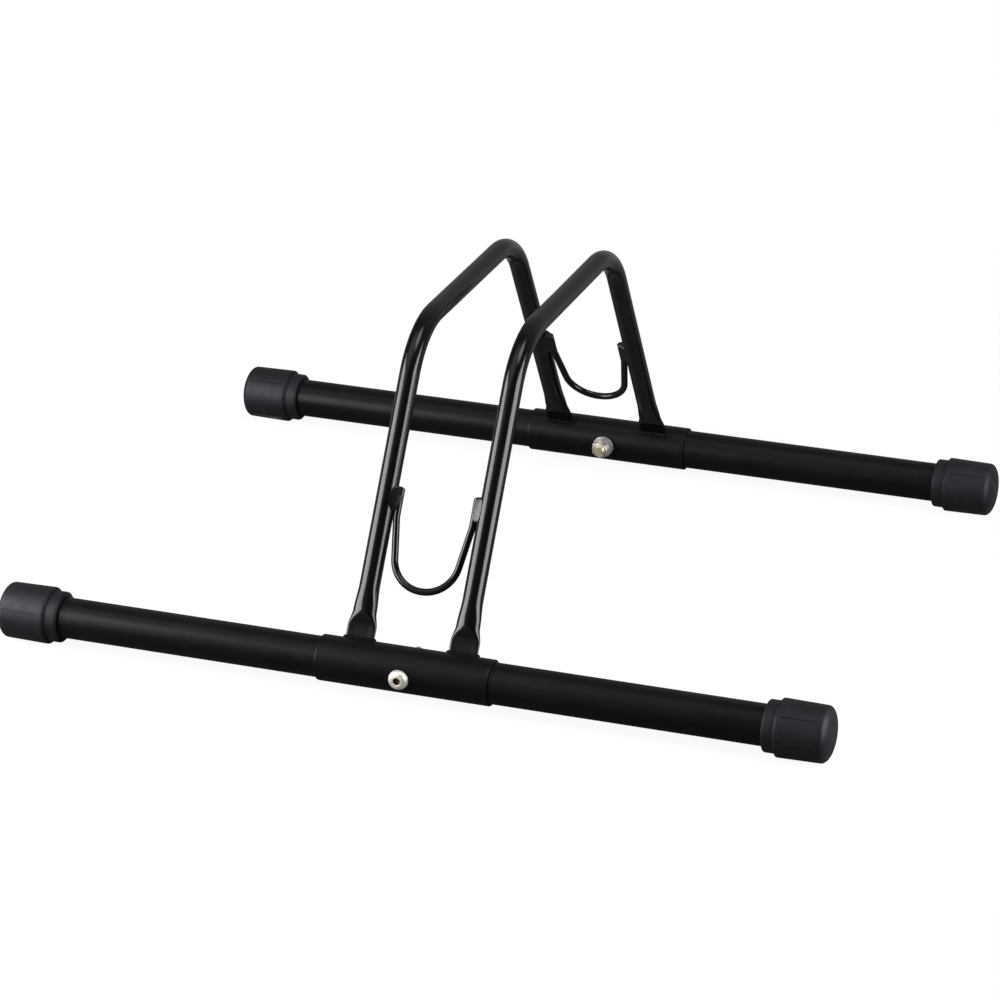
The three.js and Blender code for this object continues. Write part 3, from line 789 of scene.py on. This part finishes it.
def sleeve_body():
    half = SLEEVE_LENGTH / 2
    edge = SLEEVE_EDGE
    rim = [
        (SLEEVE_BORE, -half),
        (SLEEVE_RADIUS - edge, -half),
        (SLEEVE_RADIUS - edge * 0.3, -half + edge * 0.3),
        (SLEEVE_RADIUS, -half + edge),
        (SLEEVE_RADIUS, -half + edge + 1),
    ]
    wall = [(SLEEVE_RADIUS, height) for height in np.linspace(-half + 4, half - 4, SLEEVE_RINGS)]
    other_rim = [(radius, -height) for radius, height in reversed(rim)]
    return turned(rim + wall + other_rim, "x", BAR_SIDES)


def bar_body():
    half = BAR_LENGTH / 2
    bore = BAR_RADIUS - BAR_WALL
    wall = [(BAR_RADIUS, height) for height in np.linspace(-half, half, BAR_RINGS)]
    return turned([(bore, -half)] + wall + [(bore, half)], "x", BAR_SIDES)


# ---- end caps ----


def cap_profile(groove_start):
    """The cap's outside and inside as [radius, height] points, the height from the bar's end face."""
    rim = CAP_END_WALL - CAP_LENGTH
    shoulder = rim + COLLAR_LENGTH
    dome_centre = (CAP_RADIUS - CAP_TAPER - CAP_DOME_WIDTH, CAP_END_WALL - CAP_DOME_LENGTH)
    wall_start = shoulder + CAP_EDGE
    wall_run = dome_centre[1] - wall_start
    profile = [(AXIS_GAP, CAP_END_WALL), (CAP_FACE, CAP_END_WALL)]
    profile += dome(dome_centre, CAP_DOME_WIDTH, CAP_DOME_LENGTH, CAP_DOME_STEPS)
    for step in (12, 1.2, 0.5, 0.15, 0, -0.5):
        height = groove_start + step
        profile.append((CAP_RADIUS - CAP_TAPER * (height - wall_start) / wall_run, height))
    profile += corner(CAP_RADIUS, shoulder, CAP_EDGE)
    profile += [(COLLAR_RADIUS + COLLAR_FILLET, shoulder), (COLLAR_RADIUS, shoulder - COLLAR_FILLET)]
    profile += corner(COLLAR_RADIUS, rim, CAP_EDGE)
    profile += [(CAP_BORE, rim), (CAP_BORE, CAP_SEAT), (AXIS_GAP, CAP_SEAT)]
    return profile


def groove_angles(groove_turn):
    """The angles round a cap, each with 1 where a groove is at its full depth and else 0."""
    half_turn = math.asin(GROOVE_WIDTH / 2 / CAP_RADIUS)
    lip = GROOVE_LIP / CAP_RADIUS
    angles = {angle: 0.0 for angle in even_angles(CAP_SIDES)}
    for g in range(GROOVE_COUNT):
        middle = math.radians(groove_turn + 360 / GROOVE_COUNT * g) % math.tau
        for angle in list(angles):
            if abs((angle - middle + math.pi) % math.tau - math.pi) < half_turn + GROOVE_MARGIN:
                del angles[angle]
        for step, deep in GROOVE_SECTION:
            angles[(middle + step * (half_turn + lip)) % math.tau] = deep
    return sorted(angles.items())


def cap_body(groove_turn):
    """The cap on a bar's right end. Its X starts at the bar's end face."""
    groove_start = CAP_END_WALL - CAP_LENGTH + COLLAR_LENGTH + GROOVE_STOP
    angles = groove_angles(groove_turn)
    rings = []
    for radius, height in cap_profile(groove_start):
        ring = []
        for angle, deep in angles:
            reach = radius
            if deep and radius > COLLAR_RADIUS:
                sunk = smooth_share((height - groove_start) / GROOVE_SLOPE)
                reach = min(radius, radius + (CAP_RADIUS - GROOVE_DEPTH - radius) * sunk)
            z = max(reach * math.cos(angle), -BAR_HEIGHT)
            ring.append((height, -reach * math.sin(angle), z))
        rings.append(ring)
    return loft(rings)


# ---- fasteners, along Y ----


def hex_reach(width, angle):
    """Distance from a hexagon's centre to its edge, with a corner at angle 0."""
    sector = math.pi / 3
    return width / 2 / math.cos((angle % sector) - sector / 2)


def ring_about_y(height, reach_at):
    """A ring round Y at a height, its distance from the axis given for each angle."""
    ring = []
    for a in even_angles(FASTENER_SIDES):
        reach = reach_at(a)
        ring.append((reach * math.sin(a), height, reach * math.cos(a)))
    return ring


def round_ring(radius, height):
    return ring_about_y(height, lambda a: radius)


def hex_ring(width, height, limit=math.inf):
    """A hexagon's ring, its corners cut back to a limit."""
    return ring_about_y(height, lambda a: min(hex_reach(width, a), limit))


def thread_profile():
    """The bolt's tail beyond the nut, with its thread."""
    profile = []
    height = NUT_TOP - 1.9
    while height < BOLT_END - 0.9:
        profile.append((BOLT_RADIUS, height))
        profile.append((BOLT_RADIUS - THREAD_DEPTH, height + 0.5))
        profile.append((BOLT_RADIUS, height + 1.0))
        height += THREAD_PITCH
    return profile + [(BOLT_RADIUS - 0.1, BOLT_END - 0.7), (BOLT_RADIUS - 0.8, BOLT_END)]


def bolt_body():
    top = HEAD_SEAT - HEAD_HEIGHT
    socket = [
        (0.1, top + SOCKET_DEPTH + 0.5),
        (SOCKET_WIDTH - 0.6, top + SOCKET_DEPTH),
        (SOCKET_WIDTH, top + SOCKET_DEPTH - 0.2),
        (SOCKET_WIDTH, top + 0.25),
        (SOCKET_WIDTH + 0.35, top),
    ]
    centre = (HEAD_FLAT, HEAD_SEAT - HEAD_EDGE)
    button = dome(centre, HEAD_RADIUS - HEAD_FLAT, HEAD_EDGE - HEAD_HEIGHT, HEAD_STEPS)
    shank = [
        (HEAD_RADIUS, HEAD_SEAT - 0.1),
        (HEAD_RADIUS - 0.1, HEAD_SEAT),
        (BOLT_RADIUS, HEAD_SEAT),
        (BOLT_RADIUS, NUT_TOP - 2),
    ]
    rings = [hex_ring(width, height) for width, height in socket]
    rings += [round_ring(radius, height) for radius, height in button + shank + thread_profile()]
    return loft(rings)


def washer_body():
    top = WASHER_SEAT + WASHER_THICKNESS
    profile = [
        (HOLE_RADIUS, WASHER_SEAT),
        (WASHER_RADIUS - 0.15, WASHER_SEAT),
        (WASHER_RADIUS, WASHER_SEAT + 0.15),
        (WASHER_RADIUS, top - 0.3),
        (WASHER_RADIUS - 0.1, top - 0.1),
        (WASHER_RADIUS - 0.3, top),
        (HOLE_RADIUS, top),
    ]
    return turned(profile, "y", FASTENER_SIDES)


def nut_body():
    hex_top = NUT_SEAT + NUT_HEX_HEIGHT
    flat_reach = NUT_WIDTH / 2
    corner_reach = NUT_WIDTH / math.sqrt(3)
    bevels = [(0, flat_reach), (0.25, flat_reach + 0.36), (0.5, flat_reach + 0.72), (0.75, corner_reach)]
    rings = [hex_ring(NUT_WIDTH, NUT_SEAT + h, limit) for h, limit in bevels]
    rings += [hex_ring(NUT_WIDTH, hex_top - h, limit) for h, limit in reversed(bevels)]
    mouth = HOLE_RADIUS + NUT_MOUTH
    crown = [
        (NUT_COLLAR, hex_top),
        (NUT_COLLAR, NUT_TOP - 1),
        (NUT_COLLAR - 0.13, NUT_TOP - 0.5),
        (NUT_COLLAR - 0.5, NUT_TOP - 0.13),
        (NUT_COLLAR - 0.9, NUT_TOP),
        (mouth + 0.1, NUT_TOP - 0.05),
        (mouth, NUT_TOP - 0.15),
        (mouth, NUT_TOP - 0.5),
        (HOLE_RADIUS, NUT_TOP - 2.4),
        (HOLE_RADIUS, NUT_SEAT),
    ]
    rings += [round_ring(radius, height) for radius, height in crown]
    return loft(rings, loops=True)


def insert_body():
    inner = HOLE_RADIUS - INSERT_GRIP
    outer = HOLE_RADIUS + INSERT_WIDTH
    bottom = NUT_TOP - INSERT_DEPTH
    top = bottom + INSERT_LENGTH
    profile = [(inner, bottom), (outer, bottom), (outer, top), (inner, top)]
    return turned(profile, "y", INSERT_SIDES)


# ---- assembly ----


def add_base_end(end):
    on_axis = (0, -BAR_OFFSET, BAR_HEIGHT)

    def add(node, suffix, slot, material, part, **settings):
        if end == "rear":
            part = at_rear(part)
        add_piece(f"{end}_{node}_{suffix}", f"{end}_{node}", slot, material, part, **settings)

    add("sleeve", "tube", "satin_black", satin_paint, place(sleeve_body(), on_axis), sharp=60)
    add("base_bar", "tube", "satin_black", satin_paint, place(bar_body(), on_axis))
    add("bolt", "body", "zinc", bright_zinc, place(bolt_body(), on_axis), sharp=30)
    add("washer", "ring", "zinc", shaded_washer_zinc, place(washer_body(), on_axis), sharp=50)
    add("lock_nut", "body", "zinc", shaded_nut_zinc, place(nut_body(), on_axis), sharp=25)
    add("nut_insert", "ring", "nylon", pale_nylon, place(insert_body(), on_axis))
    add("cradle_wire", "wire", "gloss_black", gloss_paint, cradle())
    for side in (-1, 1):
        label = "right" if (side > 0) != (end == "rear") else "left"
        seed = side * WELD_SEED_STEP + WELD_SEEDS[end]
        add(f"{label}_foot_weld", "bead", "satin_black", bead_paint, foot_weld(side, seed))
        add(f"{label}_wire_weld", "fill", "gloss_black", weld_paint, wire_weld(side, seed))
        bar_end = BAR_LENGTH / 2 + CAP_OFFSETS[f"{end}_{label}"]
        cap = place(cap_body(CAP_TURNS[f"{end}_{label}"]), offset=(bar_end, 0, 0))
        cap = place(cap, offset=on_axis, flip=(side, 1, 1))
        add(f"{label}_end_cap", "moulding", "rubber", cap_rubber, cap, sharp=40)


# ---- floor, world and lamps ----


def floor_material():
    """White to the camera, dark to reflections near the rack, and a faint glow in them far off."""
    material, nodes, place_at = material_nodes("pale_floor")
    path = nodes.add("ShaderNodeLightPath").outputs
    far = nodes.vector("LENGTH", place_at)["Value"]
    seen = nodes.math("MAXIMUM", path["Is Camera Ray"], path["Is Transmission Ray"])
    seen = nodes.math("MULTIPLY", seen, nodes.remap(far, *FLOOR_GLOW_SEEN))
    mirrored = nodes.math("MULTIPLY", path["Is Glossy Ray"], nodes.remap(far, *FLOOR_GLOW_REFLECTED))
    share = nodes.math("MAXIMUM", seen, mirrored)
    tone = nodes.mix(path["Is Camera Ray"], FLOOR_TO_OTHERS, FLOOR_TO_CAMERA)
    matte = nodes.add("ShaderNodeBsdfDiffuse", {"Color": tone}).outputs[0]
    white = nodes.add("ShaderNodeEmission", {"Color": WHITE, "Strength": 1.0}).outputs[0]
    nodes.finish(nodes.add("ShaderNodeMixShader", {0: share, 1: matte, 2: white}))
    return material


def add_floor():
    mesh = bpy.data.meshes.new("floor")
    corners = ((-1, -1), (1, -1), (1, 1), (-1, 1))
    points = [(x * FLOOR_REACH, y * FLOOR_REACH, -FLOOR_DROP) for x, y in corners]
    mesh.from_pydata(points, [], [(0, 1, 2, 3)])
    floor = bpy.data.objects.new("floor", mesh)
    bpy.context.scene.collection.objects.link(floor)
    mesh.materials.append(floor_material())


def direction(azimuth, elevation):
    """The unit vector toward an azimuth, from the front to the right, and an elevation."""
    a = math.radians(azimuth)
    e = math.radians(elevation)
    return Vector((math.sin(a) * math.cos(e), -math.cos(a) * math.cos(e), math.sin(e)))


def set_world():
    world = bpy.data.worlds.new("studio")
    bpy.context.scene.world = world
    world.use_nodes = True
    nodes = Nodes(world.node_tree)
    way = nodes.add("ShaderNodeTexCoord").outputs["Generated"]
    level = WORLD_LEVEL
    for azimuth, elevation, edge, core, strength in WORLD_GLOWS:
        facing = nodes.vector("DOT_PRODUCT", way, direction(azimuth, elevation))["Value"]
        level = nodes.math("ADD", level, nodes.remap(facing, edge, core, 0, strength))
    glow = nodes.add("ShaderNodeBackground", {"Color": WHITE, "Strength": level})
    nodes.add("ShaderNodeOutputWorld", {"Surface": glow.outputs[0]})


def add_softbox(name, azimuth, elevation, distance, width, height, radiance):
    """An area lamp that faces the rack from an azimuth and elevation, in degrees."""
    way = direction(azimuth, elevation)
    data = bpy.data.lights.new(name, "AREA")
    data.shape = "RECTANGLE"
    data.size = width
    data.size_y = height
    data.energy = radiance * width * height * math.pi
    lamp = bpy.data.objects.new(name, data)
    lamp.location = Vector(SOFTBOX_TARGET) + way * distance
    lamp.rotation_mode = "QUATERNION"
    lamp.rotation_quaternion = way.to_track_quat("Z", "Y")
    bpy.context.scene.collection.objects.link(lamp)


add_camera()
add_hoops()
add_base_end("front")
add_base_end("rear")
add_floor()
set_world()
for name, settings in SOFTBOXES.items():
    add_softbox(name, *settings)

bpy.context.scene.view_settings.view_transform = "Standard"
